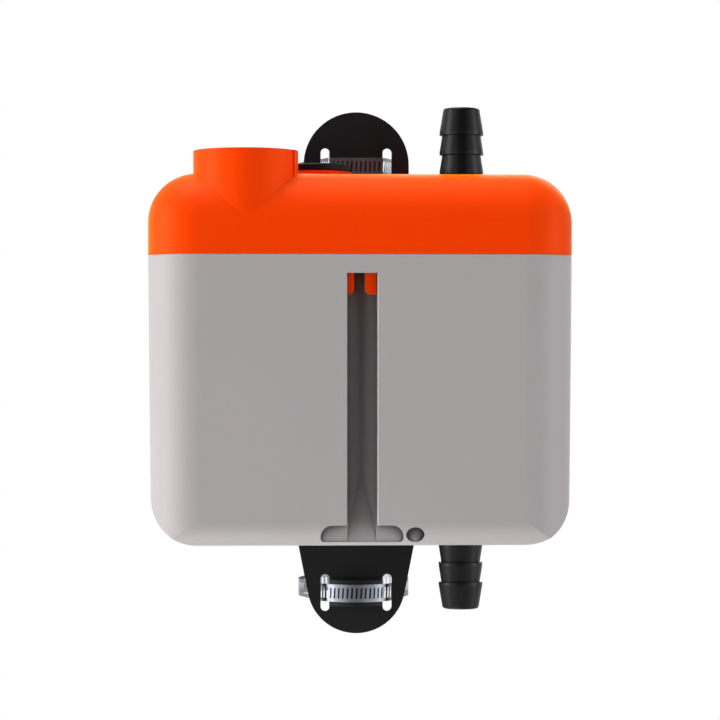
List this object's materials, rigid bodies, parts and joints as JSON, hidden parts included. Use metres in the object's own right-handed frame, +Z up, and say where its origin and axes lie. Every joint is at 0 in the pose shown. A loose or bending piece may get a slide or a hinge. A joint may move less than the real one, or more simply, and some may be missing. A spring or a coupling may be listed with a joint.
{
  "type": "condensate pump",
  "caption": "Condensate pump with a grey tank, an orange cover with an open inlet collar, black hose barbs above and below, and a bracket strapped to a pipe.",
  "frame": {"origin": "on the axis of the pipe that the bracket is strapped to, level with the middle of the housing's height", "axes": "+X to the right seen from the front, +Y away from the front towards the pipe, +Z up along the pipe"},
  "size_m": [0.186, 0.1427, 0.2386],
  "materials": {
    "black_plastic": "fine-textured moulded black plastic",
    "barb_plastic": "semi-gloss moulded black plastic",
    "black_rubber": "matt black rubber",
    "gasket_rubber": "matt black rubber",
    "band_steel": "rolled stainless strip",
    "case_steel": "pressed stainless sheet",
    "screw_steel": "zinc-plated steel",
    "grey_plastic": "satin light grey moulded plastic",
    "orange_plastic": "satin orange moulded plastic",
    "dark_plastic": "dark grey moulded plastic",
    "strainer_plastic": "natural white moulded plastic",
    "pipe_plastic": "white extruded plastic",
    "impeller_plastic": "natural nylon",
    "shaft_steel": "ground stainless bar",
    "lamination_steel": "stacked steel sheets",
    "can_steel": "zinc-plated drawn steel",
    "ferrite": "sintered ferrite",
    "bronze": "sintered bronze",
    "ball_rubber": "smooth brown rubber",
    "float_foam": "closed-cell white foam",
    "board_laminate": "green solder-masked laminate",
    "terminal_plastic": "green moulded plastic",
    "relay_plastic": "blue moulded plastic",
    "capacitor_sleeve": "black shrink sleeve"
  },
  "bodies": {
    "bracket": {"bracket": "black_plastic", "upper_pad": "black_rubber", "upper_clamp_band": "band_steel", "upper_worm_case": "case_steel", "lower_pad": "black_rubber", "lower_clamp_band": "band_steel", "lower_worm_case": "case_steel"},
    "upper_screw": {"upper_clamp_screw": "screw_steel"},
    "lower_screw": {"lower_clamp_screw": "screw_steel"},
    "housing": {"tank": "grey_plastic", "cover_gasket": "gasket_rubber", "deck": "dark_plastic", "deck_screws": "screw_steel", "lower_barb": "barb_plastic", "lower_barb_washer": "gasket_rubber", "overflow_standpipe": "pipe_plastic", "pump_column": "dark_plastic", "volute": "dark_plastic", "suction_grille": "dark_plastic", "motor_can": "can_steel", "motor_magnets": "ferrite", "motor_end_bell": "dark_plastic", "upper_bearing": "bronze", "lower_bearing": "bronze", "column_bush": "bronze", "riser_pipe": "pipe_plastic", "check_valve_body": "dark_plastic", "float_stem": "dark_plastic", "float_clips": "screw_steel", "circuit_board": "board_laminate", "terminal_block": "terminal_plastic", "relay": "relay_plastic", "capacitor": "capacitor_sleeve"},
    "rotor": {"motor_shaft": "shaft_steel", "armature": "lamination_steel", "impeller": "impeller_plastic"},
    "check_ball": {"check_valve_ball": "ball_rubber"},
    "run_float": {"run_float": "float_foam"},
    "alarm_float": {"alarm_float": "float_foam"},
    "cover": {"cover": "orange_plastic", "cover_screws": "screw_steel", "inlet_seal": "gasket_rubber", "upper_barb": "barb_plastic", "upper_barb_washer": "gasket_rubber", "cable_grommet": "black_rubber"},
    "vent_cap": {"vent_cap": "black_plastic", "vent_cap_ring": "gasket_rubber"},
    "strainer": {"inlet_strainer": "strainer_plastic"}
  },
  "joints": [
    {"name": "housing_lift", "type": "slide", "parent": "bracket", "child": "housing", "axis": [0, 0, 1], "range_m": [0, 0.06]},
    {"name": "cover_lift", "type": "slide", "parent": "housing", "child": "cover", "axis": [0, 0, 1], "range_m": [0, 0.05]},
    {"name": "vent_cap_pull", "type": "slide", "parent": "cover", "child": "vent_cap", "axis": [0, 0, 1], "range_m": [0, 0.012]},
    {"name": "strainer_lift", "type": "slide", "parent": "cover", "child": "strainer", "axis": [0, 0, 1], "range_m": [0, 0.035]},
    {"name": "rotor_spin", "type": "hinge", "parent": "housing", "child": "rotor", "pos_m": [0.016, -0.066, 0], "axis": [0, 0, 1], "continuous": true},
    {"name": "run_float_travel", "type": "slide", "parent": "housing", "child": "run_float", "axis": [0, 0, 1], "range_m": [0, 0.022]},
    {"name": "alarm_float_travel", "type": "slide", "parent": "housing", "child": "alarm_float", "axis": [0, 0, 1], "range_m": [0, 0.009]},
    {"name": "check_ball_lift", "type": "slide", "parent": "housing", "child": "check_ball", "axis": [0, 0, 1], "range_m": [0, 0.005]},
    {"name": "upper_screw_turn", "type": "hinge", "parent": "bracket", "child": "upper_screw", "pos_m": [0, 0.03118, 0.0881], "axis": [1, 0, 0], "continuous": true},
    {"name": "lower_screw_turn", "type": "hinge", "parent": "bracket", "child": "lower_screw", "pos_m": [0, 0.03118, -0.107], "axis": [1, 0, 0], "continuous": true}
  ]
}
